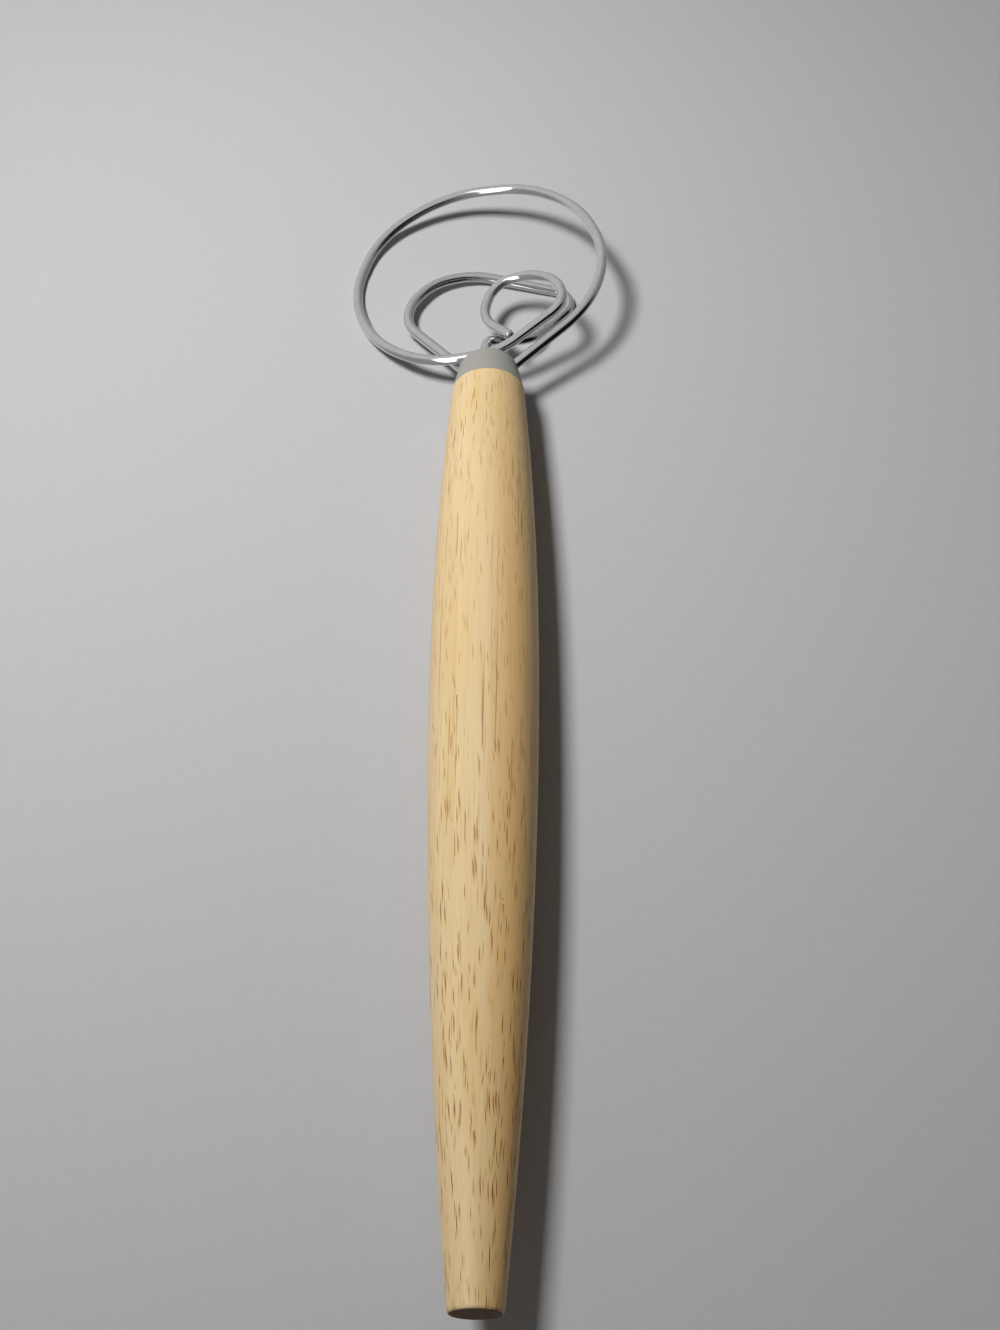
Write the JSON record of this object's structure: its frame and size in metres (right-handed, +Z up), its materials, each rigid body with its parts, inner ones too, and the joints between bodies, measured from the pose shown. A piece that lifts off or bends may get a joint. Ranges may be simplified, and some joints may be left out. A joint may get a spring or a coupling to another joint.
{
  "type": "dough whisk",
  "caption": "Dough whisk with a turned wooden handle, a moulded cap and a flat head of nested bent-wire loops for mixing stiff dough.",
  "frame": {"origin": "bottom centre of the box round the whisk as it lies on a table", "axes": "+Z up from the table, +Y along the handle towards the loops, +X to the right seen from the butt end"},
  "size_m": [0.076, 0.3326, 0.0281],
  "materials": {
    "handle_wood": "satin lacquer",
    "cap_plastic": "matte",
    "wire_steel": "polished"
  },
  "bodies": {
    "root": {"handle": "handle_wood", "ferrule_cap": "cap_plastic", "outer_wire": "wire_steel", "middle_wire": "wire_steel"}
  },
  "joints": []
}
